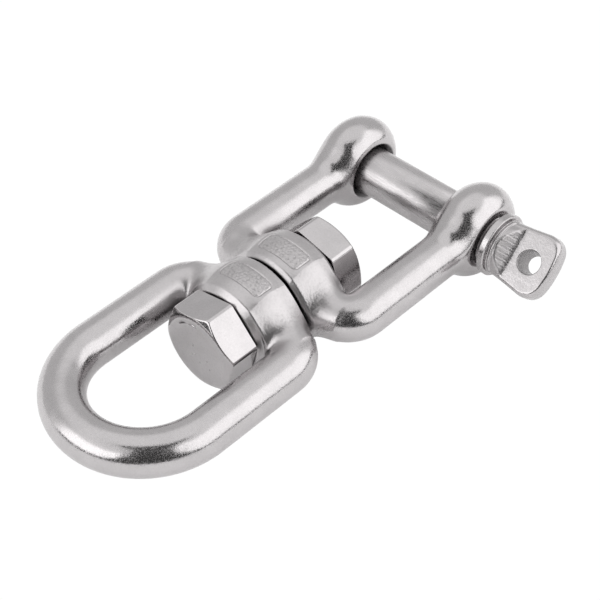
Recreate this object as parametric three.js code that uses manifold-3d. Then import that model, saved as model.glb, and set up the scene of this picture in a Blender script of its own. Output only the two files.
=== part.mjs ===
// Jaw-and-eye anchor swivel, stainless steel, nominal size M8. Millimetres, +Z up.
// The swivel axis runs along X, with the eye on -X and the jaw on +X. The clevis pin runs along Y.
// Every piece is drawn with the pin's axis through the origin; the last group moves the whole swivel so that
// the origin is the centre of its bounding box.

import * as THREE from 'three';
import { mergeVertices } from 'three/addons/utils/BufferGeometryUtils.js';
import Module from 'manifold-3d';

const wasm = await Module();
wasm.setup();

// ---- driving dimensions ----

const NOMINAL_R = 4; // M8: bolt shank and clevis pin
const CLEARANCE = 0.3; // between a shaft and its bore, and between seated faces
const ACROSS_FLATS = 13;

const HUB_R = 7.75;
const HUB_LENGTH = 8.4;
const HUB_GAP = 1; // open gap between the two hubs
const GAP_CENTRE_X = -34; // from the clevis pin's axis
const OUTER_FILLET = { axial: 1.5, radial: 0.45 }; // on the end of a hub that faces its hexagon
const GAP_CHAMFER = { axial: 0.45, radial: 0.7 }; // on the end that faces the other hub
const ROOT_FLARE = { height: 5.9, width: 4, from: 4.6, to: 11 }; // where a bar grows out of the hub's side

const PLATE = { length: 3.8, halfWidth: 3.85, corner: 0.8, depth: 0.25 }; // sunk label panel on top of a hub
const PLATE_OFFSET_X = 0.7; // the panels sit a little nearer to the gap than to the hexagons

const EYE_BAR_R = 3.55;
const EYE_HALF_SPACING = 12.35; // bar centre to swivel axis, and the bow's radius
const EYE_BOW_X = -58.1;
const EYE_SHOULDER_R = 4.5;
const EYE_ROOT_X = -38.1;

const JAW_BAR_R = 3.65;
const JAW_HALF_SPACING = 12.75;
const JAW_SHOULDER_R = 3.8;
const JAW_ROOT_X = -29.4;

const BOSS = { r: 7.9, domeR: 2.5, domeHalf: 4.8, half: 4.05, y: 12.68 };
const COUNTERSINK = { r: 4.6, depth: 0.6 }; // mouth of the tapped hole, inside the jaw

const HEX_CHAMFER = { faceR: 6.15, slope: Math.tan(Math.PI / 6) };
const HEAD_HEIGHT = 5.3;
const NUT_HEIGHT = 5.1;
const HEAD_TURN = THREE.MathUtils.degToRad(17.2); // from corners straight up and down
const NUT_TURN = THREE.MathUtils.degToRad(-16);
const THREAD_R = NOMINAL_R - CLEARANCE; // bolt end inside the nut
const BOLT_STICKS_OUT = 0.9;

const PIN_TIP_Y = 15.9;
const PIN_TIP_CHAMFER = 0.7;
const COLLAR = { r: 5.25, from: 17.35, to: 18.6, edge: 0.3 };
const SHOULDER = { r: 4.6, to: 19.3 };
const NECK = { r: 4.35, endR: 1.3, to: 21.6 };
const TAB = { thickness: 3, bevel: 0.55, rootY: 19, rootHalf: 4.25, wideY: 26.6, wideHalf: 5.2, endY: 29 };
const TAB_HOLE = { r: 1.85, y: 24.6 };
const TAB_TURN = THREE.MathUtils.degToRad(135); // direction of the tab's flat face, about Y from +X

const ROUND_SEGMENTS = 40;
const BAR_SIDES = 20;
const ARC_STEPS = 18;

// ---- helpers ----

// A closed geometry as a solid, with shared vertices merged and collapsed triangles dropped.
function solid(geometry) {
  const bare = geometry.index ? geometry.clone() : geometry;
  bare.deleteAttribute('normal');
  bare.deleteAttribute('uv');
  const merged = mergeVertices(bare, 1e-4);
  const index = merged.index.array;
  const kept = [];
  for (let i = 0; i < index.length; i += 3) {
    const [a, b, c] = [index[i], index[i + 1], index[i + 2]];
    if (a !== b && b !== c && c !== a) kept.push(a, b, c);
  }
  const vertProperties = new Float32Array(merged.attributes.position.array);
  return new wasm.Manifold(new wasm.Mesh({ numProp: 3, vertProperties, triVerts: new Uint32Array(kept) }));
}

function namedMesh(name, shape, colour, roughness) {
  const { vertProperties, triVerts } = shape.getMesh();
  const geometry = new THREE.BufferGeometry();
  geometry.setAttribute('position', new THREE.BufferAttribute(new Float32Array(vertProperties), 3));
  geometry.setIndex(new THREE.BufferAttribute(new Uint32Array(triVerts), 1));
  geometry.computeVertexNormals();
  const mesh = new THREE.Mesh(geometry, new THREE.MeshStandardMaterial({ color: colour, roughness, metalness: 1 }));
  mesh.name = name;
  return mesh;
}

// A turned shape about the swivel axis: points are [x, radius], from -X to +X.
function turnedAlongX(points, segments = ROUND_SEGMENTS) {
  const profile = points.map(([x, r]) => new THREE.Vector2(r, x));
  return solid(new THREE.LatheGeometry(profile, segments).rotateZ(-Math.PI / 2));
}

// A turned shape about the pin's axis: points are [y, radius], from -Y to +Y.
function turnedAlongY(points, segments = ROUND_SEGMENTS) {
  const profile = points.map(([y, r]) => new THREE.Vector2(r, y));
  return solid(new THREE.LatheGeometry(profile, segments));
}

function rodAlongX(radius, fromX, toX) {
  return turnedAlongX([[fromX, 0], [fromX, radius], [toX, radius], [toX, 0]]);
}

function rodAlongY(radius, fromY, toY) {
  return turnedAlongY([[fromY, 0], [fromY, radius], [toY, radius], [toY, 0]]);
}

// Points of an arc in the XY plane, without its first point.
function arcPoints(centreX, centreY, radius, fromAngle, toAngle, steps) {
  const points = [];
  for (let i = 1; i <= steps; i++) {
    const angle = fromAngle + ((toAngle - fromAngle) * i) / steps;
    points.push([centreX + radius * Math.cos(angle), centreY + radius * Math.sin(angle)]);
  }
  return points;
}

// A polyline of the bar's centre that an extrusion can follow with one ring at each of its points.
class BarCentre extends THREE.Curve {
  constructor(points) {
    super();
    this.points = points.map(([x, y]) => new THREE.Vector3(x, y, 0));
  }

  getPoint(t, target = new THREE.Vector3()) {
    const along = Math.min(t, 1) * (this.points.length - 1);
    const i = Math.min(Math.floor(along), this.points.length - 2);
    return target.lerpVectors(this.points[i], this.points[i + 1], along - i);
  }

  getPointAt(u, target) {
    return this.getPoint(u, target);
  }

  getSpacedPoints(divisions) {
    return this.getPoints(divisions);
  }

  getTangentAt(u, target = new THREE.Vector3()) {
    const i = Math.round(u * (this.points.length - 1));
    const before = this.points[Math.max(i - 1, 0)];
    const after = this.points[Math.min(i + 1, this.points.length - 1)];
    return target.subVectors(after, before).normalize();
  }
}

function roundBar(points, radius) {
  const section = new THREE.Shape().absarc(0, 0, radius, 0, 2 * Math.PI);
  const extrudePath = new BarCentre(points);
  const settings = { steps: points.length - 1, curveSegments: BAR_SIDES / 2, extrudePath };
  return solid(new THREE.ExtrudeGeometry(section, settings));
}

// ---- parts of the two castings ----

// One hub, from its end at the gap outwards. Direction is -1 for the eye's hub and 1 for the jaw's.
function hub(direction) {
  const gapX = GAP_CENTRE_X + (direction * HUB_GAP) / 2;
  const outerX = gapX + direction * HUB_LENGTH;
  const fillet = [];
  for (let i = 0; i <= 4; i++) {
    const angle = (Math.PI / 2) * (i / 4);
    fillet.push([
      outerX - direction * OUTER_FILLET.axial * (1 - Math.sin(angle)),
      HUB_R - OUTER_FILLET.radial * (1 - Math.cos(angle)),
    ]);
  }
  const profile = [
    [gapX, 0],
    [gapX, HUB_R - GAP_CHAMFER.radial],
    [gapX + direction * GAP_CHAMFER.axial, HUB_R],
    ...fillet,
    [outerX, 0],
  ];
  return turnedAlongX(direction > 0 ? profile : profile.reverse());
}

// The flared foot of a bar on one side of a hub, flattened to the hub's length.
function rootFlare(centreX, side, barR) {
  const { height, width, from, to } = ROOT_FLARE;
  const profile = [[from - 2, 0], [from - 2, height]];
  const steps = 6;
  for (let i = 0; i <= steps; i++) {
    const angle = (Math.PI / 2) * (i / steps);
    profile.push([from + (to - from) * Math.sin(angle), barR + (height - barR) * (1 - Math.sin(angle)) ** 1.5]);
  }
  profile.push([to, 0]);
  const placed = side > 0 ? profile : profile.map(([y, r]) => [-y, r]).reverse();
  return turnedAlongY(placed, 32).scale([width / height, 1, 1]).translate([centreX, 0, 0]);
}

// The tool that sinks the label panel into the top of a hub, with a floor that follows the hub.
function panelCutter(direction) {
  const { length, halfWidth, corner, depth } = PLATE;
  const x = length / 2;
  const outline = new THREE.Shape()
    .moveTo(-x + corner, -halfWidth)
    .lineTo(x - corner, -halfWidth)
    .absarc(x - corner, -halfWidth + corner, corner, -Math.PI / 2, 0)
    .absarc(x - corner, halfWidth - corner, corner, 0, Math.PI / 2)
    .absarc(-x + corner, halfWidth - corner, corner, Math.PI / 2, Math.PI)
    .absarc(-x + corner, -halfWidth + corner, corner, Math.PI, 1.5 * Math.PI);
  const block = solid(new THREE.ExtrudeGeometry(outline, { depth: HUB_R + 1, bevelEnabled: false, curveSegments: 4 }));
  const centreX = GAP_CENTRE_X + direction * (HUB_GAP / 2 + HUB_LENGTH / 2 - PLATE_OFFSET_X);
  const core = rodAlongX(HUB_R - depth, centreX - HUB_LENGTH, centreX + HUB_LENGTH);
  return block.translate([centreX, 0, 0]).subtract(core);
}

function boltBore() {
  const reach = HUB_LENGTH + HUB_GAP;
  return rodAlongX(NOMINAL_R + CLEARANCE, GAP_CENTRE_X - reach, GAP_CENTRE_X + reach);
}

function eyeBody() {
  const shoulderX = EYE_ROOT_X - EYE_SHOULDER_R;
  const shoulderY = EYE_HALF_SPACING - EYE_SHOULDER_R;
  const rootY = 5;
  const quarter = Math.PI / 2;
  const loop = [
    [EYE_ROOT_X, rootY],
    [EYE_ROOT_X, shoulderY],
    ...arcPoints(shoulderX, shoulderY, EYE_SHOULDER_R, 0, quarter, ARC_STEPS / 3),
    [EYE_BOW_X, EYE_HALF_SPACING],
    ...arcPoints(EYE_BOW_X, 0, EYE_HALF_SPACING, quarter, 3 * quarter, ARC_STEPS),
    [shoulderX, -EYE_HALF_SPACING],
    ...arcPoints(shoulderX, -shoulderY, EYE_SHOULDER_R, -quarter, 0, ARC_STEPS / 3),
    [EYE_ROOT_X, -rootY],
  ];
  return hub(-1)
    .add(roundBar(loop, EYE_BAR_R))
    .add(rootFlare(EYE_ROOT_X, 1, EYE_BAR_R))
    .add(rootFlare(EYE_ROOT_X, -1, EYE_BAR_R))
    .subtract(boltBore())
    .subtract(panelCutter(-1));
}

function jawLeg(side) {
  const shoulderX = JAW_ROOT_X + JAW_SHOULDER_R;
  const shoulderY = JAW_HALF_SPACING - JAW_SHOULDER_R;
  const rootY = 5;
  const leg = [
    [JAW_ROOT_X, rootY],
    [JAW_ROOT_X, shoulderY],
    ...arcPoints(shoulderX, shoulderY, JAW_SHOULDER_R, Math.PI, Math.PI / 2, ARC_STEPS / 3),
    [0, JAW_HALF_SPACING],
  ];
  return roundBar(leg.map(([x, y]) => [x, side * y]), JAW_BAR_R);
}

// A domed eye at the end of a jaw leg, faced flat on both sides.
function boss(side) {
  const { r, domeR, domeHalf, half, y } = BOSS;
  const flatAngle = Math.asin(half / domeHalf);
  const steps = 10;
  const profile = [];
  for (let i = 0; i <= steps; i++) {
    const angle = flatAngle * ((2 * i) / steps - 1);
    profile.push([side * y + domeHalf * Math.sin(angle), domeR + (r - domeR) * Math.cos(angle)]);
  }
  return turnedAlongY([[side * y - half, 0], ...profile, [side * y + half, 0]]);
}

function jawBody() {
  const innerY = BOSS.y - BOSS.half;
  const countersink = turnedAlongY([
    [innerY - 1, 0],
    [innerY - 1, COUNTERSINK.r],
    [innerY, COUNTERSINK.r],
    [innerY + COUNTERSINK.depth, NOMINAL_R],
    [innerY + COUNTERSINK.depth, 0],
  ]);
  const reach = BOSS.y + 2 * BOSS.half;
  return hub(1)
    .add(jawLeg(1))
    .add(jawLeg(-1))
    .add(rootFlare(JAW_ROOT_X, 1, JAW_BAR_R))
    .add(rootFlare(JAW_ROOT_X, -1, JAW_BAR_R))
    .add(boss(1))
    .add(boss(-1))
    .subtract(boltBore())
    .subtract(rodAlongY(NOMINAL_R + CLEARANCE, -reach, reach))
    .subtract(countersink)
    .subtract(panelCutter(1));
}

// ---- swivel bolt and nut ----

// A hexagon about the swivel axis, with its corners turned off at both ends.
function hexagon(fromX, toX, turn) {
  const cornerR = ACROSS_FLATS / Math.sqrt(3);
  const { faceR, slope } = HEX_CHAMFER;
  const prism = new THREE.CylinderGeometry(cornerR, cornerR, toX - fromX, 6)
    .rotateZ(-Math.PI / 2)
    .rotateX(turn)
    .translate((fromX + toX) / 2, 0, 0);
  const outside = 1.5;
  const depth = (cornerR + outside - faceR) * slope;
  const envelope = turnedAlongX([
    [fromX, 0],
    [fromX, faceR],
    [fromX + depth, cornerR + outside],
    [toX - depth, cornerR + outside],
    [toX, faceR],
    [toX, 0],
  ]);
  return solid(prism).intersect(envelope);
}

const EYE_SEAT_X = GAP_CENTRE_X - HUB_GAP / 2 - HUB_LENGTH - CLEARANCE;
const JAW_SEAT_X = GAP_CENTRE_X + HUB_GAP / 2 + HUB_LENGTH + CLEARANCE;

function swivelBolt() {
  const endX = JAW_SEAT_X + NUT_HEIGHT + BOLT_STICKS_OUT;
  const shank = turnedAlongX([
    [EYE_SEAT_X - 1, 0],
    [EYE_SEAT_X - 1, NOMINAL_R],
    [JAW_SEAT_X - CLEARANCE - 1, NOMINAL_R],
    [JAW_SEAT_X - 1, THREAD_R],
    [endX - 0.6, THREAD_R],
    [endX, THREAD_R - 0.6],
    [endX, 0],
  ]);
  return hexagon(EYE_SEAT_X - HEAD_HEIGHT, EYE_SEAT_X, HEAD_TURN).add(shank);
}

function swivelNut() {
  const bore = rodAlongX(THREAD_R + CLEARANCE, JAW_SEAT_X - 1, JAW_SEAT_X + NUT_HEIGHT + 1);
  return hexagon(JAW_SEAT_X, JAW_SEAT_X + NUT_HEIGHT, NUT_TURN).subtract(bore);
}

// ---- clevis pin ----

// The flattened grip, drawn in its own plane with the outline's v axis along -Y, then turned about the pin.
function tab() {
  const { thickness, bevel, rootY, rootHalf, wideY, wideHalf, endY } = TAB;
  const [root, wide] = [rootHalf - bevel, wideHalf - bevel];
  const end = endY - bevel;
  const outline = new THREE.Shape()
    .moveTo(-root, rootY)
    .lineTo(root, rootY)
    .lineTo(wide, wideY - 1.5)
    .bezierCurveTo(wide + 0.35, wideY, wide - 0.4, wideY + 1, wide - 1.6, wideY + 1.45)
    .quadraticCurveTo(0, 2 * end - wideY - 1.45, -wide + 1.6, wideY + 1.45)
    .bezierCurveTo(-wide + 0.4, wideY + 1, -wide - 0.35, wideY, -wide, wideY - 1.5)
    .closePath();
  const depth = thickness - 2 * bevel;
  const settings = { depth, bevelThickness: bevel, bevelSize: bevel, bevelSegments: 2, curveSegments: 8 };
  const blank = solid(new THREE.ExtrudeGeometry(outline, settings).translate(0, 0, -depth / 2));
  const holeCutter = solid(
    new THREE.CylinderGeometry(TAB_HOLE.r, TAB_HOLE.r, thickness + 2, 24).rotateX(Math.PI / 2).translate(0, TAB_HOLE.y, 0),
  );
  // u -> across the tab, v -> -Y, and the face's normal towards TAB_TURN in the XZ plane
  const [nx, nz] = [Math.cos(TAB_TURN), Math.sin(TAB_TURN)];
  const across = new THREE.Vector3(nz, 0, -nx);
  const outward = new THREE.Vector3(0, -1, 0);
  const normal = new THREE.Vector3().crossVectors(across, outward);
  const turn = new THREE.Matrix4().makeBasis(across, outward, normal);
  return blank.subtract(holeCutter).transform(turn.elements);
}

function clevisPin() {
  const turned = turnedAlongY([
    [-NECK.to, 0],
    [-NECK.to, NECK.endR],
    [-SHOULDER.to, NECK.r],
    [-SHOULDER.to, SHOULDER.r],
    [-COLLAR.to, SHOULDER.r],
    [-COLLAR.to, COLLAR.r - COLLAR.edge],
    [-COLLAR.to + COLLAR.edge, COLLAR.r],
    [-COLLAR.from - COLLAR.edge, COLLAR.r],
    [-COLLAR.from, COLLAR.r - COLLAR.edge],
    [-COLLAR.from, NOMINAL_R],
    [PIN_TIP_Y - PIN_TIP_CHAMFER, NOMINAL_R],
    [PIN_TIP_Y, NOMINAL_R - PIN_TIP_CHAMFER],
    [PIN_TIP_Y, 0],
  ]);
  return turned.add(tab());
}

// ---- assembly ----

const swivel = new THREE.Group();
swivel.add(
  namedMesh('eye_body', eyeBody(), 0xc4c3c5, 0.22),
  namedMesh('jaw_body', jawBody(), 0xc6c5c6, 0.22),
  namedMesh('swivel_bolt', swivelBolt(), 0xcfced0, 0.14),
  namedMesh('swivel_nut', swivelNut(), 0xcfced0, 0.14),
  namedMesh('clevis_pin', clevisPin(), 0xc9c8ca, 0.2),
);
swivel.position.copy(new THREE.Box3().setFromObject(swivel).getCenter(new THREE.Vector3()).negate());

const part = new THREE.Group();
part.add(swivel);

export default part;
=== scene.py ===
import math

import bmesh
import bpy
import numpy as np
from mathutils import Matrix, Vector


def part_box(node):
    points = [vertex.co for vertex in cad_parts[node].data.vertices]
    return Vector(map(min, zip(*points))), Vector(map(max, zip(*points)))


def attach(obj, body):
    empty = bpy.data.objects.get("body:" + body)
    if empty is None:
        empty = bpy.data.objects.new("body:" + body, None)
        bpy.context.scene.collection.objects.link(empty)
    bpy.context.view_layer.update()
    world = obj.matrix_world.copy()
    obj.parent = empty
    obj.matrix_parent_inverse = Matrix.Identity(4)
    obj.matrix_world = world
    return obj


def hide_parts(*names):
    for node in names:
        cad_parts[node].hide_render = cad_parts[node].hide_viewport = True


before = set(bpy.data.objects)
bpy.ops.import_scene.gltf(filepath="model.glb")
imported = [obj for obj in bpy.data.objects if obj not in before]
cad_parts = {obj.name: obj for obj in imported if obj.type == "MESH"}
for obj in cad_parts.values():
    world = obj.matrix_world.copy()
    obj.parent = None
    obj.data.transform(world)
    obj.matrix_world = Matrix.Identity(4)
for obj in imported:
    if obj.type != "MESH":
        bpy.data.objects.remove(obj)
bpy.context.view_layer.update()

# Shapes are drawn in millimetres, with the clevis pin's axis through the origin along Y and the swivel axis
# along X, and moved into the row frame at the end. The eye is on -X and the jaw on +X.
MM = 0.001

# ---- dimensions ----

GAP_CENTRE_X = -34.0
HUB = {"r": 7.75, "length": 8.52, "gap": 0.76}
GAP_CHAMFER = {  # by side of the gap
    -1: {"axial": 0.1, "radial": 0.14},
    1: {"axial": 0.8, "radial": 0.75},
}
SEAT_CHAMFER = {"axial": 1.05, "radial": 0.95}
SEAT_R = 8.0  # room around a hexagon, cut out of the roots of the bars
SEAT_CUT_DEPTH = {-1: 1.05, 1: 0.45}  # by side of the gap
SEAT_REACH = 14.0
SEAT_CLEARANCE = 0.02  # that the room leaves round the hub itself
SEAT_LIP = {"rim": 0.15, "root": 1.0, "before": 0.7, "after": 0.6}  # rounding, and where it changes
ROOT_FILLET = {"inside": 3.6, "at_seat": 2.8, "from": 3.4, "to": 0.1}  # from and to are short of the seat
BORE_R = 4.3
FLARE = {"height": 5.9, "under": 1.4, "stretch": 1.475, "from": 4.6, "to": 11.0, "curve": 1.25, "blend": 1.6}

EYE = {"bar": 3.55, "half": 12.35, "bow_x": -58.1, "corner": 4.5, "root_x": -38.1}
JAW = {"bar": 3.65, "half": 12.75, "corner": 3.8, "root_x": -29.4, "cheek_x": -12.0}
BOSS = {"rise": 2.5, "long": 5.4, "wide": 4.8, "half": 4.05, "y": 12.68, "blend": 2.2}
BOSS_THREAD_DEPTH = 0.2
PIN_BORE_FROM_Y = 3.0
NEAR_BOSS_X = 6.0
COUNTERSINK = {"r": 5.05, "slope": 0.85, "depth": 0.9}

PANEL = {"offset": 3.62, "half_length": 1.86, "half_arc": 4.0, "corner": 0.8, "depth": 0.07, "reach": 2.6}
PANEL_LIP = {"depth": 0.1, "width": 0.1, "inset": 0.1}
PANEL_LOWEST_Z = 3.0
STIPPLE = {"pitch": 0.6, "height": 0.03, "half_width": 1.5, "half_arc": 3.6, "edge": 0.3}

HEX_FLAT = 6.5
HEX_CORNER_R = 0.45
HEX_FACE_R = 6.15
HEX_CHAMFER_RUN = 0.577
HEAD = {"from": -48.5, "to": -43.05, "turn": math.radians(47.2)}
WEAR_ARC = {"r": 5.0, "width": 0.13, "depth": 0.16, "turn": math.radians(68.0)}
PIT_DEPTH = 0.15
PITS = (  # y, z and radius
    (0.9, 0.6, 0.22), (0.5, -0.9, 0.17), (1.3, -1.6, 0.2),
    (-0.4, -2.2, 0.16), (-2.0, -1.0, 0.15), (-2.4, -2.4, 0.2),
)
NUT = {"from": -24.95, "to": -19.7, "turn": math.radians(14.0)}
NUT_BORE = {"r": 4.02, "mouth": 0.75, "slope": 0.8}

SHANK_R = 4.0
SHANK_SIDES = 96
SCREW_R = 3.95
PITCH = 1.25
THREAD_DEPTH = 0.62
THREAD_STEP = 0.085  # between two rings of the mesh
THREAD_RUN_IN = 1.0
THREAD_LEAD = 0.4  # between the plain shank and the thread's first ring
CREST_SHARE = 0.12  # of the pitch, and the flat of the valley is as wide
TIP_CHAMFER = 0.8
TIP_FACE = ((0.12, 1.0), (0.15, 0.6))  # distances past the thread, and shares of the tip's radius

# Places on the clevis pin's head are distances from the jaw's middle plane, outwards.
COLLAR = {"r": 5.25, "from": 17.35, "to": 18.6}
TIER = {"r": 4.6, "from": 17.25, "to": 19.35}
GROOVE = {"at": 18.8, "depth": 0.35, "width": 0.16}
NECK = {"r": 4.35, "from": 17.6, "to": 22.0}
TAB = {"half": 1.85, "root": 19.2, "root_half": 4.4, "taper": 0.15, "end": 28.65, "end_curve": 0.03}
TAB_CORNER = 2.8
TAB_BEVEL = 0.45
RAMP = {"end": 21.4, "slope": 1.37}  # from the neck down to the tab's face
TAB_HOLE = {"r": 1.74, "widening": 0.27, "y": 24.6}
TAB_NORMAL = (-math.sqrt(0.5), math.sqrt(0.5))  # in X and Z

# How widely two faces blend where they meet.
ROUNDING = {
    "gap": 0.08, "chamfer": 0.12, "seat": 0.2, "room": 0.3, "room_corner": 0.6, "bore": 0.3,
    "boss": 0.35, "boss_end": 0.3, "pin_bore": 0.25, "countersink": 0.12,
    "hexagon_cone": 0.2, "hexagon_end": 0.25, "hexagon_seat": 0.05, "nut_bore": 0.08,
    "collar": 0.28, "tier": 0.2, "ramp": 0.3, "neck_end": 0.4, "neck_foot": 0.1,
    "tab_bevel": 0.15, "tab_outline": 0.5, "tab_root": 0.5, "tab_hole": 0.1,
    "collar_to_tier": 0.06, "tier_to_neck": 0.1, "neck_to_tab": 0.7,
}

TABLE_Z = -7.95  # what the swivel lies on and mirrors, which the camera looks past
FLOOR_Z = -31.0  # clear of the jaw when it is turned down

# The row frame's origin, from the eye's box: its bow ends at a known X, and the swivel axis is its middle.
eye_low, eye_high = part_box("eye_body")
ROW_SHIFT = Vector((
    eye_low.x - MM * (EYE["bow_x"] - EYE["half"] - EYE["bar"]),
    (eye_low.y + eye_high.y) / 2,
    0.0,
))


# ---- smooth solids as distance functions ----

def smooth_min(a, b, blend):
    overlap = np.maximum(blend - np.abs(a - b), 0.0) / blend
    return np.minimum(a, b) - overlap * overlap * blend / 4


def smooth_max(a, b, blend):
    return -smooth_min(-a, -b, blend)


def smooth_step(value, start, end):
    share = np.clip((value - start) / (end - start), 0.0, 1.0)
    return share * share * (3 - 2 * share)


def rounded_box(x, y, low_x, high_x, half_y, low_corner, high_corner):
    """Distance in the plane to a box with its own corner radius at each end."""
    dx = x - (low_x + high_x) / 2
    corner = np.where(dx > 0, high_corner, low_corner)
    qx = np.abs(dx) - (high_x - low_x) / 2 + corner
    qy = np.abs(y) - half_y + corner
    outside = np.hypot(np.maximum(qx, 0), np.maximum(qy, 0))
    return np.minimum(np.maximum(qx, qy), 0) + outside - corner


def hub_distance(along, from_axis, side):
    """A hub from its face at the gap (along = 0) out to its seat."""
    body = from_axis - HUB["r"]
    for inward, chamfer in ((along, GAP_CHAMFER[side]), (HUB["length"] - along, SEAT_CHAMFER)):
        run, rise = chamfer["axial"], chamfer["radial"]
        cone = ((from_axis - HUB["r"] + rise) * run - inward * rise) / math.hypot(run, rise)
        body = smooth_max(body, cone, ROUNDING["chamfer"])
    body = smooth_max(body, -along, ROUNDING["gap"])
    return smooth_max(body, along - HUB["length"], ROUNDING["seat"])


def flare_distance(x, y, z, root_x, bar):
    """The foot of a bar where it grows out of a hub's side."""
    share = np.clip((np.abs(y) - FLARE["from"]) / (FLARE["to"] - FLARE["from"]), 0, 1)
    end_r = bar - FLARE["under"]
    radius = end_r + (FLARE["height"] - end_r) * (1 - share) ** FLARE["curve"]
    section = (np.hypot((x - root_x) * FLARE["stretch"], z) - radius) / FLARE["stretch"]
    return np.maximum(section, np.abs(y) - FLARE["to"])


def hub_and_bars(x, y, z, bars, root_x, bar, side):
    from_axis = np.hypot(y, z)
    along = side * (x - GAP_CENTRE_X) - HUB["gap"] / 2
    seat_at = HUB["length"]
    towards_seat = smooth_step(along, seat_at - ROOT_FILLET["from"], seat_at - ROOT_FILLET["to"])
    fillet = ROOT_FILLET["inside"] + (ROOT_FILLET["at_seat"] - ROOT_FILLET["inside"]) * towards_seat
    body = smooth_min(bars, flare_distance(x, y, z, root_x, bar), FLARE["blend"])
    hub = hub_distance(along, from_axis, side)
    body = smooth_min(body, hub, fillet)
    body = smooth_max(body, -along, ROUNDING["gap"])

    room = smooth_max(from_axis - SEAT_R, seat_at - SEAT_CUT_DEPTH[side] - along, ROUNDING["room"])
    room = smooth_max(room, SEAT_CLEARANCE - hub, ROUNDING["room_corner"])
    room = np.maximum(room, along - SEAT_REACH)
    past_rim = smooth_step(along, seat_at - SEAT_LIP["before"], seat_at + SEAT_LIP["after"])
    body = smooth_max(body, -room, SEAT_LIP["rim"] + (SEAT_LIP["root"] - SEAT_LIP["rim"]) * past_rim)

    bore = np.maximum(from_axis - BORE_R, along - SEAT_REACH)
    return smooth_max(body, -bore, ROUNDING["bore"])


def panel_centre(side):
    return GAP_CENTRE_X + side * (HUB["gap"] / 2 + PANEL["offset"])


def panel_coordinates(x, y, z, side):
    """Across a label panel, along it round the hub, and the distance to its outline."""
    across = x - panel_centre(side)
    arc = HUB["r"] * np.arctan2(y, np.maximum(z, 0.1))
    half, corner = PANEL["half_length"], PANEL["corner"]
    return across, arc, rounded_box(across, arc, -half, half, PANEL["half_arc"], corner, corner)


def panel_stipple(across, arc):
    """Height of the plain dots on the floor of a label panel."""
    turn = 2 * math.pi / STIPPLE["pitch"]
    slant = math.sqrt(0.75) * arc
    dots = np.cos(turn * across) + np.cos(turn * (across / 2 + slant)) + np.cos(turn * (across / 2 - slant))
    width, length, edge = STIPPLE["half_width"], STIPPLE["half_arc"], STIPPLE["edge"]
    inside = 1 - smooth_step(np.abs(across), width, width + edge)
    inside *= 1 - smooth_step(np.abs(arc), length, length + edge)
    return STIPPLE["height"] * smooth_step(dots / 3, -0.1, 0.8) * inside


def panel_relief(x, y, z, side):
    """How far the surface of a hub sinks at its label panel."""
    across, arc, edge = panel_coordinates(x, y, z, side)
    floor = 1 - smooth_step(edge, -0.3, 0.02)
    lip = PANEL_LIP["depth"] * np.exp(-(((edge + PANEL_LIP["inset"]) / PANEL_LIP["width"]) ** 2))
    sunk = floor * (PANEL["depth"] - panel_stipple(across, arc)) + lip
    return np.where((z > PANEL_LOWEST_Z) & (np.abs(across) < PANEL["reach"]), sunk, 0.0)


def panel_zone(x, y, z, side):
    """One on the floor of a label panel and zero around it."""
    edge = panel_coordinates(x, y, z, side)[2]
    return np.where(z > PANEL_LOWEST_Z, 1 - smooth_step(edge, -0.35, -0.1), 0.0)


def eye_distance(x, y, z):
    low_x = EYE["bow_x"] - EYE["half"]
    centre = rounded_box(x, y, low_x, EYE["root_x"], EYE["half"], EYE["half"], EYE["corner"])
    bars = np.hypot(centre, z) - EYE["bar"]
    return hub_and_bars(x, y, z, bars, EYE["root_x"], EYE["bar"], -1)


def boss_distance(x, y, z):
    """The domed bosses, each a flattened ball that is cut by two flat faces."""
    from_axis = np.hypot(x, z)
    sideways = np.abs(y) - BOSS["y"]
    across = sideways / BOSS["wide"]
    outward = np.maximum(from_axis - BOSS["rise"], 0) / BOSS["long"]
    share = np.hypot(across, outward)
    steepness = np.maximum(np.hypot(across / BOSS["wide"], outward / BOSS["long"]), 1e-3)
    dome = share * (share - 1) / steepness
    return smooth_max(dome, np.abs(sideways) - BOSS["half"], ROUNDING["boss"])


def jaw_distance(x, y, z):
    far_x = 40.0  # anywhere past the bosses, where the legs end
    centre = rounded_box(x, y, JAW["root_x"], far_x, JAW["half"], JAW["corner"], JAW["corner"])
    centre = np.where(x > 0, np.hypot(x, np.abs(y) - JAW["half"]), centre)
    bars = np.hypot(centre, z) - JAW["bar"]
    bars = smooth_min(bars, boss_distance(x, y, z), BOSS["blend"])
    inner_y = BOSS["y"] - BOSS["half"]
    bars = smooth_max(bars, np.abs(y) - BOSS["y"] - BOSS["half"], ROUNDING["boss_end"])
    cheeks = smooth_max(bars, inner_y - np.abs(y), ROUNDING["boss_end"])
    bars = np.where(x > JAW["cheek_x"], cheeks, bars)
    body = hub_and_bars(x, y, z, bars, JAW["root_x"], JAW["bar"], 1)
    from_axis = np.hypot(x, z)
    thread = BOSS_THREAD_DEPTH * (0.5 + 0.5 * np.cos(2 * math.pi * y / PITCH - np.arctan2(z, x)))
    bore = np.where(y > 0, BORE_R - thread, BORE_R)
    body = smooth_max(body, -np.maximum(from_axis - bore, PIN_BORE_FROM_Y - np.abs(y)), ROUNDING["pin_bore"])
    sink_r = COUNTERSINK["r"] - COUNTERSINK["slope"] * np.maximum(y - inner_y, 0)
    sink = np.maximum(from_axis - sink_r, np.abs(y - inner_y) - COUNTERSINK["depth"])
    return smooth_max(body, -sink, ROUNDING["countersink"])


def tab_coordinates(x, z):
    """Across the tab and along its normal."""
    normal_x, normal_z = TAB_NORMAL
    return x * normal_z - z * normal_x, x * normal_x + z * normal_z


def slab(place, ends):
    """Distance to the space between two parallel planes."""
    return np.abs(place - (ends["from"] + ends["to"]) / 2) - (ends["to"] - ends["from"]) / 2


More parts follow.
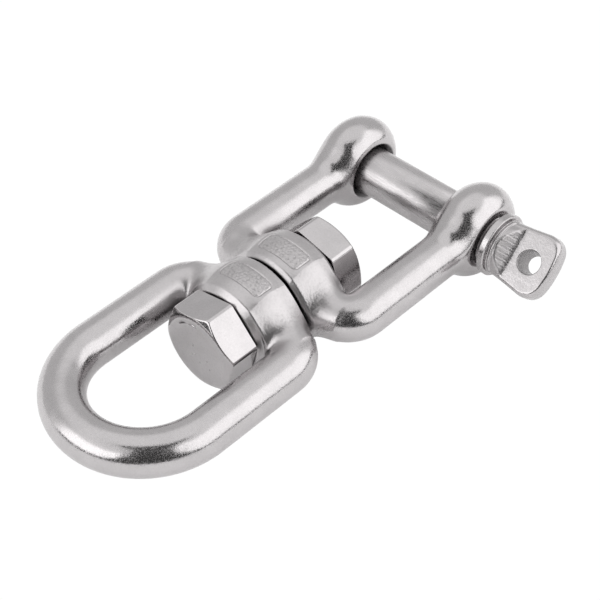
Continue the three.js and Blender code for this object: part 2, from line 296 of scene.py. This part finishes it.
def tool_marks(u, out):
    """Shallow waves that forming left on the ramps."""
    waves = 0.02 * np.sin(u * 1.9 + 0.6) * np.sin(u * 1.3 + out)
    ripples = 0.006 * np.sin(u * 9.0 + 1.3 * out) + 0.004 * np.sin(u * 15.3 + 0.8)
    return waves + ripples


def pin_head_distance(x, y, z):
    out = -y
    from_axis = np.hypot(x, z)
    u, w = tab_coordinates(x, z)
    height = np.abs(w)

    collar = smooth_max(from_axis - COLLAR["r"], slab(out, COLLAR), ROUNDING["collar"])
    groove = GROOVE["depth"] * np.exp(-(((out - GROOVE["at"]) / GROOVE["width"]) ** 2))
    tier = smooth_max(from_axis - TIER["r"] + groove, slab(out, TIER), ROUNDING["tier"])

    slope = (height - TAB["half"] - RAMP["slope"] * (RAMP["end"] - out)) / math.hypot(1, RAMP["slope"])
    neck = smooth_max(from_axis - NECK["r"], slope + tool_marks(u, out), ROUNDING["ramp"])
    neck = smooth_max(neck, out - NECK["to"], ROUNDING["neck_end"])
    neck = smooth_max(neck, NECK["from"] - out, ROUNDING["neck_foot"])

    side_half = TAB["root_half"] + TAB["taper"] * (out - TAB["root"])
    side = (np.abs(u) - side_half) / math.hypot(1, TAB["taper"])
    end = out - TAB["end"] + TAB["end_curve"] * u * u
    end /= math.hypot(1, 2 * TAB["end_curve"] * TAB["root_half"])
    outline = smooth_max(side, end, TAB_CORNER)
    bevel = (outline + height - TAB["half"] + TAB_BEVEL) / math.sqrt(2)
    plate = smooth_max(height - TAB["half"], bevel, ROUNDING["tab_bevel"])
    plate = smooth_max(plate, outline, ROUNDING["tab_outline"])
    plate = smooth_max(plate, TAB["root"] - out, ROUNDING["tab_root"])
    hole_r = TAB_HOLE["r"] + TAB_HOLE["widening"] * np.clip(w / TAB["half"], -1, 1)
    hole = np.hypot(u, out - TAB_HOLE["y"]) - hole_r
    plate = smooth_max(plate, -hole, ROUNDING["tab_hole"])

    body = smooth_min(collar, tier, ROUNDING["collar_to_tier"])
    body = smooth_min(body, neck, ROUNDING["tier_to_neck"])
    return smooth_min(body, plate, ROUNDING["neck_to_tab"])


def hexagon_distance(y, z, turn):
    """A hexagon about X with one corner towards turn, and slightly rounded corners."""
    angles = [turn + math.radians(30 + 60 * side) for side in range(6)]
    flats = [y * math.cos(angle) + z * math.sin(angle) - HEX_FLAT for angle in angles]
    body = flats[0]
    for flat in flats[1:]:
        body = smooth_max(body, flat, HEX_CORNER_R)
    return body


def hexagon_head_distance(x, y, z, place, chamfered_ends):
    from_axis = np.hypot(y, z)
    body = hexagon_distance(y, z, place["turn"])
    for end, outward in ((place["from"], -1), (place["to"], 1)):
        depth = outward * (end - x)
        kind = "hexagon_seat"
        if outward in chamfered_ends:
            cone = ((from_axis - HEX_FACE_R) * HEX_CHAMFER_RUN - depth) / math.hypot(HEX_CHAMFER_RUN, 1)
            body = smooth_max(body, cone, ROUNDING["hexagon_cone"])
            kind = "hexagon_end"
        body = smooth_max(body, -depth, ROUNDING[kind])
    return body


def bolt_head_distance(x, y, z):
    """The head, with an arc of wear and a few pits in its flat end."""
    body = hexagon_head_distance(x, y, z, HEAD, (-1,))
    from_axis = np.hypot(y, z)
    angle = np.arctan2(z, y)
    arc = np.exp(-(((from_axis - WEAR_ARC["r"]) / WEAR_ARC["width"]) ** 2))
    arc *= 1 - smooth_step(np.abs(angle - WEAR_ARC["turn"]), 0.3, 0.5)
    marks = WEAR_ARC["depth"] * arc * (0.6 + 0.4 * np.sin(9 * angle))
    for pit_y, pit_z, pit_r in PITS:
        pit = np.exp(-((y - pit_y) ** 2 + (z - pit_z) ** 2) / pit_r ** 2)
        marks = np.maximum(marks, PIT_DEPTH * pit)
    return body + marks * (x < HEAD["from"] + 0.4)


def nut_distance(x, y, z):
    body = hexagon_head_distance(x, y, z, NUT, (1,))
    from_axis = np.hypot(y, z)
    mouth = NUT_BORE["mouth"] + np.maximum(x - NUT["to"], NUT["from"] - x)
    bore = from_axis - NUT_BORE["r"] - NUT_BORE["slope"] * np.maximum(mouth, 0)
    return smooth_max(body, -bore / math.hypot(1, NUT_BORE["slope"]), ROUNDING["nut_bore"])


# ---- meshes ----

BLOCK = 4  # grid nodes to the side of the blocks that are looked at first
NEAR_BLOCK = 5.5  # grid steps from a block's middle within which the surface may cross the block
FURTHEST_MOVE = 0.3  # of a point in one round of settling
NORMAL_REACH = 0.02  # to each side of a point, for its normal


def grid_values(distance, low, counts, step):
    """Distances on a grid, worked out exactly only near the surface."""
    blocks = [count // BLOCK for count in counts]
    middle = [low[i] + step * (BLOCK * np.arange(blocks[i]) + (BLOCK - 1) / 2) for i in range(3)]
    coarse = distance(*np.meshgrid(*middle, indexing="ij"))
    values = coarse
    for axis in range(3):
        values = np.repeat(values, BLOCK, axis)
    near = np.nonzero(np.abs(values) < NEAR_BLOCK * step)
    values[near] = distance(*[low[i] + step * near[i] for i in range(3)])
    return values


def cell_vertices(values, low, step):
    """The grid cells that the surface crosses, and the mean of the crossings on each cell's edges."""
    corners = [(i, j, k) for i in (0, 1) for j in (0, 1) for k in (0, 1)]
    shape = [count - 1 for count in values.shape]
    inside = np.zeros(shape, np.int8)
    for i, j, k in corners:
        inside += values[i:i + shape[0], j:j + shape[1], k:k + shape[2]] < 0
    cells = np.nonzero((inside > 0) & (inside < 8))
    at = {c: values[cells[0] + c[0], cells[1] + c[1], cells[2] + c[2]] for c in corners}
    total = np.zeros((len(cells[0]), 3))
    crossings = np.zeros(len(cells[0]))
    for corner in corners:
        for axis in range(3):
            if corner[axis]:
                continue
            other = tuple(c + (i == axis) for i, c in enumerate(corner))
            a, b = at[corner], at[other]
            crossed = (a < 0) != (b < 0)
            point = np.tile(np.array(corner, float), (len(a), 1))
            point[:, axis] += a / np.where(crossed, a - b, 1)
            total += point * crossed[:, None]
            crossings += crossed
    vertices = total / crossings[:, None] + np.stack(cells, 1)
    ids = np.full(shape, -1, np.int64)
    ids[cells] = np.arange(len(vertices))
    return vertices * step + np.array(low), ids


def cell_quads(values, ids):
    quads = []
    for axis in range(3):
        u, v = (axis + 1) % 3, (axis + 2) % 3
        moved = np.moveaxis(values, (axis, u, v), (0, 1, 2)) < 0
        cells = np.moveaxis(ids, (axis, u, v), (0, 1, 2))
        before, after = moved[:-1, 1:-1, 1:-1], moved[1:, 1:-1, 1:-1]
        for way, flip in ((before & ~after, False), (~before & after, True)):
            a, b, c = np.nonzero(way)
            loop = [cells[a, b, c], cells[a, b + 1, c], cells[a, b + 1, c + 1], cells[a, b, c + 1]]
            quads.append(np.stack(loop[::-1] if flip else loop, 1))
    return np.concatenate(quads)


def gradient(distance, points, reach=0.012):
    result = np.zeros_like(points)
    for axis in range(3):
        offset = np.zeros(3)
        offset[axis] = reach
        ahead, behind = points + offset, points - offset
        result[:, axis] = distance(*ahead.T) - distance(*behind.T)
    return result / (2 * reach)


def settle(distance, points, rounds=3):
    """Moves points onto the surface."""
    for _ in range(rounds):
        slope = gradient(distance, points)
        steep = np.maximum((slope ** 2).sum(1), 0.2)
        move = distance(*points.T) / steep
        points = points - slope * np.clip(move, -FURTHEST_MOVE, FURTHEST_MOVE)[:, None]
    return points


def mesh_of(name, distance, low, high, step):
    """The surface of a distance function as a quad mesh."""
    low = np.array(low, float)
    counts = [int(math.ceil((high[i] - low[i]) / step / BLOCK)) * BLOCK + BLOCK for i in range(3)]
    values = grid_values(distance, low, counts, step)
    vertices, ids = cell_vertices(values, low, step)
    vertices = settle(distance, vertices)
    mesh = bpy.data.meshes.new(name)
    mesh.from_pydata(vertices.tolist(), [], cell_quads(values, ids).tolist())
    return mesh


def mesh_points(mesh):
    points = np.zeros(len(mesh.vertices) * 3)
    mesh.vertices.foreach_get("co", points)
    return points.reshape(-1, 3)


def refine(mesh, in_zone, cuts):
    """Divides the faces whose middle is in a zone."""
    work = bmesh.new()
    work.from_mesh(mesh)
    faces = [face for face in work.faces if in_zone(face.calc_center_median())]
    edges = list({edge for face in faces for edge in face.edges})
    bmesh.ops.subdivide_edges(work, edges=edges, cuts=cuts, use_grid_fill=True)
    work.to_mesh(mesh)
    work.free()


def finish_piece(mesh, distance, material, body, nodes, masks=None):
    """Gives a piece its smooth normals, its material and masks, and its place in the frame."""
    points = mesh_points(mesh)
    if distance is not None:
        points = settle(distance, points, 2)
        mesh.vertices.foreach_set("co", points.ravel())
        normals = gradient(distance, points, NORMAL_REACH)
        normals /= np.maximum(np.linalg.norm(normals, axis=1), 1e-6)[:, None]
    for name, mask in (masks or {}).items():
        attribute = mesh.attributes.new(name, "FLOAT", "POINT")
        attribute.data.foreach_set("value", mask(*points.T).astype(np.float32))
    mesh.transform(Matrix.Translation(ROW_SHIFT) @ Matrix.Scale(MM, 4))
    mesh.shade_smooth()
    if distance is not None:
        mesh.normals_split_custom_set_from_vertices(normals.tolist())
    mesh.materials.append(material)
    piece = bpy.data.objects.new(mesh.name, mesh)
    bpy.context.scene.collection.objects.link(piece)
    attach(piece, body)
    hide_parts(*nodes)
    return piece


def turned_mesh(name, stations, sides, along_y):
    """A closed turned shape. A station is a distance along the axis and a function from angles to radii."""
    angles = np.arange(sides) * 2 * math.pi / sides
    vertices, faces = [], []
    for place, radius in stations:
        radii = radius(angles)
        for angle, r in zip(angles, radii):
            sideways, up = r * math.cos(angle), r * math.sin(angle)
            vertices.append((sideways, place, up) if along_y else (place, sideways, up))
    for ring in range(len(stations) - 1):
        for i in range(sides):
            j = (i + 1) % sides
            loop = (ring * sides + i, ring * sides + j, (ring + 1) * sides + j, (ring + 1) * sides + i)
            faces.append(loop if along_y else loop[::-1])
    caps = [list(range(sides)), list(range((len(stations) - 1) * sides, len(stations) * sides))]
    faces.append(caps[0][::-1] if along_y else caps[0])
    faces.append(caps[1] if along_y else caps[1][::-1])
    mesh = bpy.data.meshes.new(name)
    mesh.from_pydata(vertices, [], faces)
    return mesh


def screw_stations(plain_from, thread_from, thread_to, tip_r):
    """Stations of a shank: plain, then threaded, then a chamfered tip with a flat face."""
    def constant(r):
        return lambda angles: np.full_like(angles, r)

    def threaded(place):
        fade = float(smooth_step(np.array(place), thread_from, thread_from + THREAD_RUN_IN))
        tip = max(0.0, place - thread_to + TIP_CHAMFER)

        def radius(angles):
            phase = (place / PITCH - angles / (2 * math.pi)) % 1.0
            flank = (np.abs(phase - 0.5) * 2 - CREST_SHARE) / (1 - 2 * CREST_SHARE)
            cut = SCREW_R - THREAD_DEPTH * (1 - np.clip(flank, 0, 1)) * fade
            return np.minimum(cut, SHANK_R - tip)
        return radius

    stations = [(plain_from, constant(SHANK_R)), (thread_from - THREAD_LEAD, constant(SHANK_R))]
    count = int((thread_to - thread_from) / THREAD_STEP)
    for i in range(count + 1):
        place = thread_from + (thread_to - thread_from) * i / count
        stations.append((place, threaded(place)))
    for ahead, share in TIP_FACE:
        stations.append((thread_to + ahead, constant(tip_r * share)))
    return stations


# ---- materials ----

TINT = (0.515, 0.496, 0.501)
# The near black of dirt, and of painted shade in the gap, the bores and the corners.
SOIL_AND_SHADE_COLOUR = (0.01, 0.01, 0.01)
BUMPS_PER_MM = {"broad": 0.4, "pits": 2.6, "fine": 3.2, "specks": 5.5}
PIT_RELIEF = 0.045
SOIL_AND_SHADE_SHARE = 0.88


def ramp(tree, source, stops):
    """A grey ramp over (position, value) stops."""
    node = tree.nodes.new("ShaderNodeValToRGB")
    elements = node.color_ramp.elements
    while len(elements) < len(stops):
        elements.new(0.5)
    for element, (position, value) in zip(elements, stops):
        element.position = position
        element.color = (value, value, value, 1)
    tree.links.new(source, node.inputs["Fac"])
    return node.outputs["Color"]


def noise(tree, position, kind, detail, stretch=None):
    """One of the kinds of noise over the object."""
    if stretch is not None:
        mapping = tree.nodes.new("ShaderNodeMapping")
        mapping.inputs["Scale"].default_value = stretch
        tree.links.new(position, mapping.inputs["Vector"])
        position = mapping.outputs["Vector"]
    node = tree.nodes.new("ShaderNodeTexNoise")
    node.inputs["Scale"].default_value = BUMPS_PER_MM[kind] / MM
    node.inputs["Detail"].default_value = detail
    tree.links.new(position, node.inputs["Vector"])
    return node.outputs["Fac"]


def maths(tree, operation, a, b):
    node = tree.nodes.new("ShaderNodeMath")
    node.operation = operation
    for socket, value in zip(node.inputs, (a, b)):
        if isinstance(value, (int, float)):
            socket.default_value = value
        else:
            tree.links.new(value, socket)
    return node.outputs[0]


def attribute(tree, name):
    node = tree.nodes.new("ShaderNodeAttribute")
    node.attribute_name = name
    return node.outputs["Fac"]


def bump(tree, height, distance, after=None):
    node = tree.nodes.new("ShaderNodeBump")
    node.inputs["Strength"].default_value = 1.0
    node.inputs["Distance"].default_value = distance * MM
    tree.links.new(height, node.inputs["Height"])
    if after is not None:
        tree.links.new(after, node.inputs["Normal"])
    return node.outputs["Normal"]


def steel(name, polished, satin, grain, wave, stretch=None):
    """Bare stainless steel: a polished face with satin specks, rougher where the satin mask says so.

    polished and satin are roughnesses. grain and wave are the depths of fine and broad unevenness.
    """
    material = bpy.data.materials.new(name)
    material.use_nodes = True
    tree = material.node_tree
    shader = tree.nodes["Principled BSDF"]
    shader.inputs["Metallic"].default_value = 1.0
    position = tree.nodes.new("ShaderNodeTexCoord").outputs["Object"]

    cast = attribute(tree, "cast_grain")
    soil_and_shade = attribute(tree, "soil_and_shade")
    fine = noise(tree, position, "fine", 3.0, stretch)
    specks = noise(tree, position, "specks", 1.0, stretch)
    broad = noise(tree, position, "broad", 1.0)
    pits = noise(tree, position, "pits", 4.0)

    # The colour darkens towards near black where its darkening mask says so: a trace of dirt, and painted
    # shade in the gap, the bores and the corners.
    undarkened = maths(tree, "SUBTRACT", 1.0, maths(tree, "MULTIPLY", soil_and_shade, SOIL_AND_SHADE_SHARE))
    mottled = ramp(tree, fine, [(0.3, 0.93), (0.7, 1.0)])
    clouded = ramp(tree, broad, [(0.35, 0.95), (0.65, 1.0)])
    darkened = maths(tree, "MULTIPLY", cast, ramp(tree, pits, [(0.3, 0.5), (0.5, 0.0)]))
    speckled = maths(tree, "SUBTRACT", 1.0, darkened)
    shade = maths(tree, "MULTIPLY", maths(tree, "MULTIPLY", mottled, clouded), undarkened)
    shade = maths(tree, "MULTIPLY", shade, speckled)
    colour = tree.nodes.new("ShaderNodeMix")
    colour.data_type = "RGBA"
    colour.inputs["A"].default_value = (*SOIL_AND_SHADE_COLOUR, 1)
    colour.inputs["B"].default_value = (*TINT, 1)
    tree.links.new(shade, colour.inputs["Factor"])
    tree.links.new(colour.outputs["Result"], shader.inputs["Base Color"])

    dull = maths(tree, "ADD", ramp(tree, specks, [(0.41, 0.0), (0.60, 0.6)]), attribute(tree, "satin"))
    dull = maths(tree, "MINIMUM", maths(tree, "ADD", dull, soil_and_shade), 1.0)
    rough = maths(tree, "ADD", polished, maths(tree, "MULTIPLY", dull, satin - polished))
    tree.links.new(rough, shader.inputs["Roughness"])

    normal = bump(tree, broad, wave)
    normal = bump(tree, fine, grain, normal)
    pitted = maths(tree, "MULTIPLY", cast, ramp(tree, pits, [(0.35, 0.0), (0.6, 1.0)]))
    normal = bump(tree, pitted, PIT_RELIEF, normal)
    tree.links.new(normal, shader.inputs["Normal"])
    return material


CAST = steel("cast_steel_polished", polished=0.085, satin=0.32, grain=0.010, wave=0.03)
HEXAGON = steel("hexagon_steel_polished", polished=0.07, satin=0.2, grain=0.005, wave=0.012)
PIN = steel("pin_steel_drawn", polished=0.27, satin=0.42, grain=0.004, wave=0.0, stretch=(1.0, 0.12, 1.0))
FORGED = steel("pin_steel_forged", polished=0.14, satin=0.4, grain=0.010, wave=0.05)


# ---- masks ----

UNDARKENED_FROM_R = {-1: 7.5, 1: 7.4}  # on the faces in the gap, by side: no dirt or painted shade from here out
DIRT_AND_SHADE_FADE = {-1: 0.12, 1: 0.45}
DIRT_AND_SHADE_REACH = 10.0  # along the swivel axis from the gap
# Where painted shade darkens the corner behind the nut.
CREVICE = {"x": -24.3, "y": 8.7, "long": 1.3, "wide": 1.0}
# Where painted shade darkens the narrow corners beside the bolt's head.
HEAD_SHADE = {"x": -44.3, "y": 8.2, "z": 1.0, "long": 1.7, "wide": 1.2, "high": 4.0}
# How dark each mark is: painted shade in the crevice and beside the head, a trace of dirt on the tab, and
# darker inside its hole.
SOIL_AND_SHADE = {"crevice": 0.55, "head_shade": 0.75, "tab": 0.06, "tab_hole": 0.44}
SATIN = {"bars_below": 0.03, "bars_above": 0.22, "ramps": 0.5}
GRAIN = {"hub": 0.14, "corner": 0.3, "panel": 0.5, "tab": 0.1, "worn_end": 0.14}


def bell(offset, width):
    return np.exp(-((offset / width) ** 2))


def dirt_and_shade_in_gap(x, y, z):
    """Dirt and painted shade that never leave the gap between the hubs and the insides of the bores."""
    from_axis = np.hypot(y, z)
    undarkened_r = np.where(x < GAP_CENTRE_X, UNDARKENED_FROM_R[-1], UNDARKENED_FROM_R[1])
    fade = np.where(x < GAP_CENTRE_X, DIRT_AND_SHADE_FADE[-1], DIRT_AND_SHADE_FADE[1])
    # Painted shade on the faces in the gap, and inside the bore.
    in_gap = 1 - smooth_step(np.abs(x - GAP_CENTRE_X) - HUB["gap"] / 2, 0.0, fade)
    in_gap *= 1 - smooth_step(from_axis - undarkened_r, -0.15, 0.1)
    in_bore = 1 - smooth_step(from_axis, BORE_R + 0.05, BORE_R + 0.25)
    return np.where(np.abs(x - GAP_CENTRE_X) < DIRT_AND_SHADE_REACH, np.maximum(in_gap, in_bore), 0.0)


def dirt_and_shade_of_jaw(x, y, z):
    """Dirt and painted shade in the gap, and painted shade inside the bosses and in the corner behind the
    nut.
    """
    from_axis = np.hypot(x, z)
    inner_y = BOSS["y"] - BOSS["half"]
    # Painted shade inside the bosses' bores and countersinks.
    edge = np.where(np.abs(y - inner_y) < COUNTERSINK["depth"], COUNTERSINK["r"], BORE_R + 0.1)
    bore = 1 - smooth_step(from_axis - edge, -0.2, 0.15)
    bore *= 1 - 0.2 * smooth_step(from_axis, BORE_R, BORE_R + 0.2)
    # Painted shade in the corner behind the nut.
    crevice = SOIL_AND_SHADE["crevice"] * bell(x - CREVICE["x"], CREVICE["long"]) * (z > 0)
    crevice *= bell(y - CREVICE["y"], CREVICE["wide"])
    in_boss = np.where(np.abs(x) < NEAR_BOSS_X, bore, 0.0)
    return np.maximum(np.maximum(dirt_and_shade_in_gap(x, y, z), crevice), in_boss)


def dirt_and_shade_of_eye(x, y, z):
    """Dirt and painted shade in the gap, and painted shade in the narrow corners beside the bolt's head."""
    shade = SOIL_AND_SHADE["head_shade"] * bell(x - HEAD_SHADE["x"], HEAD_SHADE["long"])
    shade *= bell(np.abs(y) - HEAD_SHADE["y"], HEAD_SHADE["wide"])
    shade *= bell(z - HEAD_SHADE["z"], HEAD_SHADE["high"])
    return np.maximum(dirt_and_shade_in_gap(x, y, z), shade)


def tab_darkening(x, y, z):
    """A trace of dirt all over, and darker inside the tab's hole."""
    u, w = tab_coordinates(x, z)
    in_hole = np.hypot(u, -y - TAB_HOLE["y"]) < TAB_HOLE["r"] + 0.22
    return SOIL_AND_SHADE["tab"] + SOIL_AND_SHADE["tab_hole"] * (in_hole & (np.abs(w) < TAB["half"] - 0.06))


def satin_ramp(x, y, z):
    """The ramps from the neck down to the tab are left as they were struck."""
    w = tab_coordinates(x, z)[1]
    return SATIN["ramps"] * (np.abs(w) > TAB["half"] + 0.15) * smooth_step(-y, 19.0, 19.4)


def grain_of_tab(x, y, z):
    """A little grain on the tab's faces."""
    w = tab_coordinates(x, z)[1]
    return GRAIN["tab"] * (np.abs(w) > TAB["half"] - 0.02) * smooth_step(-y, 20.5, 21.5)


def satin_hubs(x, y, z):
    """The hubs and the roots of the bars are duller than the bars."""
    near_hub = 1 - smooth_step(np.abs(x - GAP_CENTRE_X), 9.0, 18.0)
    bars = SATIN["bars_below"] + SATIN["bars_above"] * smooth_step(z, 0.0, 2.5)
    return bars + (1 - bars) * near_hub * (1 - smooth_step(np.hypot(y, z) - 0.8 * z, 8.5, 12.5))


def worn_end(x, y, z):
    """Marks on the flat end of the bolt's head."""
    return GRAIN["worn_end"] * (x < HEAD["from"] + 0.1)


def grain_near_roots(x, y, z):
    """As-cast grain that polishing hasn't reached: inner corners and the floors of the label panels."""
    corner = bell(np.abs(y) - 8.4, 1.5) * np.exp(-(((x - GAP_CENTRE_X) / 6.0) ** 4))
    hub = 1 - smooth_step(np.hypot(y, z), 8.2, 12.0)
    hub *= 1 - smooth_step(np.abs(x - GAP_CENTRE_X), 8.0, 11.0)
    panels = np.maximum(panel_zone(x, y, z, -1), panel_zone(x, y, z, 1))
    return GRAIN["hub"] * hub + GRAIN["corner"] * corner + GRAIN["panel"] * panels


# ---- pieces ----

FINE = 0.2  # grid step for the castings
EDGED = 0.11  # grid step for pieces with sharp edges
PANEL_CUTS = 2
NEAR_PANEL = {"across": 0.35, "along": 0.3, "lowest_z": 5.8}  # room round a panel whose mesh is finer too


def near_panel(side):
    half_x = PANEL["half_length"] + NEAR_PANEL["across"]
    half_y = PANEL["half_arc"] + NEAR_PANEL["along"]

    def inside(point):
        beside = abs(point.x - panel_centre(side)) < half_x and abs(point.y) < half_y
        return beside and point.z > NEAR_PANEL["lowest_z"]
    return inside


def casting(node, plain, side, low, high, soil_and_shade, body):
    """One of the two castings, with its label panel."""
    def detailed(x, y, z):
        return plain(x, y, z) + panel_relief(x, y, z, side)

    mesh = mesh_of(f"{body}_casting", plain, low, high, FINE)
    refine(mesh, near_panel(side), PANEL_CUTS)
    masks = {"cast_grain": grain_near_roots, "soil_and_shade": soil_and_shade, "satin": satin_hubs}
    return finish_piece(mesh, detailed, CAST, body, [node], masks)


casting("eye_body", eye_distance, -1, (-74.6, -16.6, -8.4), (-34.0, 16.6, 8.4), dirt_and_shade_of_eye, "eye")
casting("jaw_body", jaw_distance, 1, (-34.0, -17.4, -8.5), (8.6, 17.4, 8.5), dirt_and_shade_of_jaw, "jaw")

head = mesh_of("swivel_bolt_head", bolt_head_distance, (-49.0, -8.0, -8.0), (-42.8, 8.0, 8.0), EDGED)
head_masks = {"cast_grain": worn_end}
finish_piece(head, bolt_head_distance, HEXAGON, "bolt", ["swivel_bolt"], head_masks)

nut = mesh_of("swivel_nut_hexagon", nut_distance, (-25.2, -8.0, -8.0), (-19.2, 8.0, 8.0), EDGED)
finish_piece(nut, nut_distance, HEXAGON, "bolt", ["swivel_nut"])

bolt_stations = screw_stations(plain_from=-43.4, thread_from=-27.0, thread_to=-18.95, tip_r=3.0)
bolt_shank = turned_mesh("swivel_bolt_shank", bolt_stations, SHANK_SIDES, along_y=False)
finish_piece(bolt_shank, None, PIN, "bolt", ["swivel_bolt"])

pin_stations = screw_stations(plain_from=-17.4, thread_from=9.3, thread_to=15.75, tip_r=3.1)
pin_shank = turned_mesh("clevis_pin_shank", pin_stations, SHANK_SIDES, along_y=True)
finish_piece(pin_shank, None, PIN, "pin", ["clevis_pin"])

pin_head = mesh_of("clevis_pin_head", pin_head_distance, (-6.0, -29.6, -6.0), (6.0, -17.0, 6.0), EDGED)
pin_head_masks = {"soil_and_shade": tab_darkening, "satin": satin_ramp, "cast_grain": grain_of_tab}
finish_piece(pin_head, pin_head_distance, FORGED, "pin", ["clevis_pin"], pin_head_masks)


# ---- studio ----

TENT_R = 0.6
TABLE_R = 0.55
FLOOR_R = 4.0
TABLE_PAPER = {"shade": 0.9, "glow": 0.22}
TABLE_GLOW_BELOW = 0.9
FLOOR_BRIGHTNESS = 1.02
BACKDROP_BRIGHTNESS = 1.05


def emission(name, strength_source, strength=1.0):
    material = bpy.data.materials.new(name)
    material.use_nodes = True
    tree = material.node_tree
    tree.nodes.clear()
    output = tree.nodes.new("ShaderNodeOutputMaterial")
    shader = tree.nodes.new("ShaderNodeEmission")
    shader.inputs["Strength"].default_value = strength
    if strength_source:
        tree.links.new(attribute(tree, strength_source), shader.inputs["Strength"])
    tree.links.new(shader.outputs[0], output.inputs["Surface"])
    return material


# Panels of the light tent: heading and elevation of the middle, half width, half height and softness, all in
# degrees, and brightness.
TENT_TOP = 1.16
TENT_PANELS = (
    ("far side", 55, 20, 76, 26, 14, 0.76),
    ("near right", -66, 27, 52, 26, 8, 1.85),
    ("near left", -186, 20, 35, 19, 8, 2.2),
    ("camera side", -135, 36, 24, 18, 6, 1.25),
    ("gap at the floor", -115, 1.5, 102, 3.1, 1.0, 0.05),
    ("gap on the left", -196, 2.6, 26, 3.6, 1.5, 0.05),
)
# The dark opening that the camera looks through: half width in degrees by elevation.
OPENING_HEADING = -135
OPENING = ((0, 54), (5, 47), (12, 33), (30, 25), (52, 24), (60, 28), (66, 58), (70, 62), (73, 36), (76, 1))
OPENING_EDGE = 1.5
OPENING_TOP = {"from": 76, "to": 80}
OPENING_BRIGHTNESS = 0.07


def turn_between(heading, other):
    return np.abs((heading - other + 180) % 360 - 180)


def tent_brightness(direction):
    """Brightness of the tent in each direction from its middle."""
    heading = np.degrees(np.arctan2(direction[:, 1], direction[:, 0]))
    elevation = np.degrees(np.arcsin(np.clip(direction[:, 2], -1, 1)))
    light = np.full(len(direction), TENT_TOP)
    for _, middle, height, half_width, half_height, soft, value in TENT_PANELS:
        upwards = np.abs(elevation - height)
        share = 1 - smooth_step(turn_between(heading, middle), half_width - soft, half_width + soft)
        share *= 1 - smooth_step(upwards, half_height - soft / 2, half_height + soft / 2)
        light = light + (value - light) * share
    sideways = turn_between(heading, OPENING_HEADING)
    half_width = np.interp(elevation, *zip(*OPENING))
    share = 1 - smooth_step(sideways - half_width, -OPENING_EDGE, OPENING_EDGE)
    share *= smooth_step(elevation, -1, 1)
    share *= 1 - smooth_step(elevation, OPENING_TOP["from"], OPENING_TOP["to"])
    return light + (OPENING_BRIGHTNESS - light) * share


def light_tent(radius):
    work = bmesh.new()
    bmesh.ops.create_uvsphere(work, u_segments=240, v_segments=160, radius=radius)
    mesh = bpy.data.meshes.new("light_tent")
    work.to_mesh(mesh)
    work.free()
    values = tent_brightness(mesh_points(mesh) / radius)
    brightness = mesh.attributes.new("brightness", "FLOAT", "POINT")
    brightness.data.foreach_set("value", values.astype(np.float32))
    mesh.materials.append(emission("tent_light", "brightness"))
    tent = bpy.data.objects.new("light_tent", mesh)
    bpy.context.scene.collection.objects.link(tent)
    tent.visible_camera = False
    tent.visible_shadow = False


def disc(name, radius, height, material):
    work = bmesh.new()
    bmesh.ops.create_circle(work, cap_ends=True, segments=96, radius=radius)
    mesh = bpy.data.meshes.new(name)
    work.to_mesh(mesh)
    work.free()
    mesh.materials.append(material)
    made = bpy.data.objects.new(name, mesh)
    made.location.z = height
    bpy.context.scene.collection.objects.link(made)
    return made


def table_material():
    """White paper above. Its underside glows as bright as that, for a jaw that is turned down past it."""
    material = bpy.data.materials.new("white_table")
    material.use_nodes = True
    tree = material.node_tree
    tree.nodes.clear()
    output = tree.nodes.new("ShaderNodeOutputMaterial")
    paper = tree.nodes.new("ShaderNodeBsdfPrincipled")
    shade = TABLE_PAPER["shade"]
    paper.inputs["Base Color"].default_value = (shade, shade, shade, 1)
    paper.inputs["Roughness"].default_value = 1.0
    paper.inputs["Specular IOR Level"].default_value = 0.0
    paper.inputs["Emission Color"].default_value = (1, 1, 1, 1)
    paper.inputs["Emission Strength"].default_value = TABLE_PAPER["glow"]
    glow = tree.nodes.new("ShaderNodeEmission")
    glow.inputs["Strength"].default_value = TABLE_GLOW_BELOW
    sides = tree.nodes.new("ShaderNodeMixShader")
    tree.links.new(tree.nodes.new("ShaderNodeNewGeometry").outputs["Backfacing"], sides.inputs["Fac"])
    tree.links.new(paper.outputs[0], sides.inputs[1])
    tree.links.new(glow.outputs[0], sides.inputs[2])
    tree.links.new(sides.outputs[0], output.inputs["Surface"])
    return material


def backdrop(brightness):
    world = bpy.data.worlds.new("white_backdrop")
    world.use_nodes = True
    world.node_tree.nodes["Background"].inputs["Color"].default_value = (1, 1, 1, 1)
    world.node_tree.nodes["Background"].inputs["Strength"].default_value = brightness
    bpy.context.scene.world = world


light_tent(TENT_R)
table = disc("table", TABLE_R, TABLE_Z * MM, table_material())
table.visible_camera = False
disc("floor", FLOOR_R, FLOOR_Z * MM, emission("pale_floor", None, FLOOR_BRIGHTNESS))
backdrop(BACKDROP_BRIGHTNESS)

# ---- camera ----

CAMERA_PLACE = Vector((-142.913, -115.858, 156.079))
CAMERA_HEADING = math.radians(44.940)  # anticlockwise from +X, seen from above
CAMERA_DIP = math.radians(44.491)
CAMERA_ROLL = math.radians(-1.343)
CAMERA_LENS = 87.9

camera_data = bpy.data.cameras.new("camera")
camera_data.lens = CAMERA_LENS
camera_data.sensor_width = 36
camera_data.clip_start = 0.005
camera_data.clip_end = 20
camera = bpy.data.objects.new("camera", camera_data)
heading = Matrix.Rotation(CAMERA_HEADING - math.pi / 2, 4, "Z")
tilt = Matrix.Rotation(math.pi / 2 - CAMERA_DIP, 4, "X")
roll = Matrix.Rotation(CAMERA_ROLL, 4, "Z")
camera.matrix_world = Matrix.Translation(CAMERA_PLACE * MM + ROW_SHIFT) @ heading @ tilt @ roll
bpy.context.scene.collection.objects.link(camera)
bpy.context.scene.camera = camera
bpy.context.scene.view_settings.view_transform = "Standard"

bpy.context.view_layer.update()
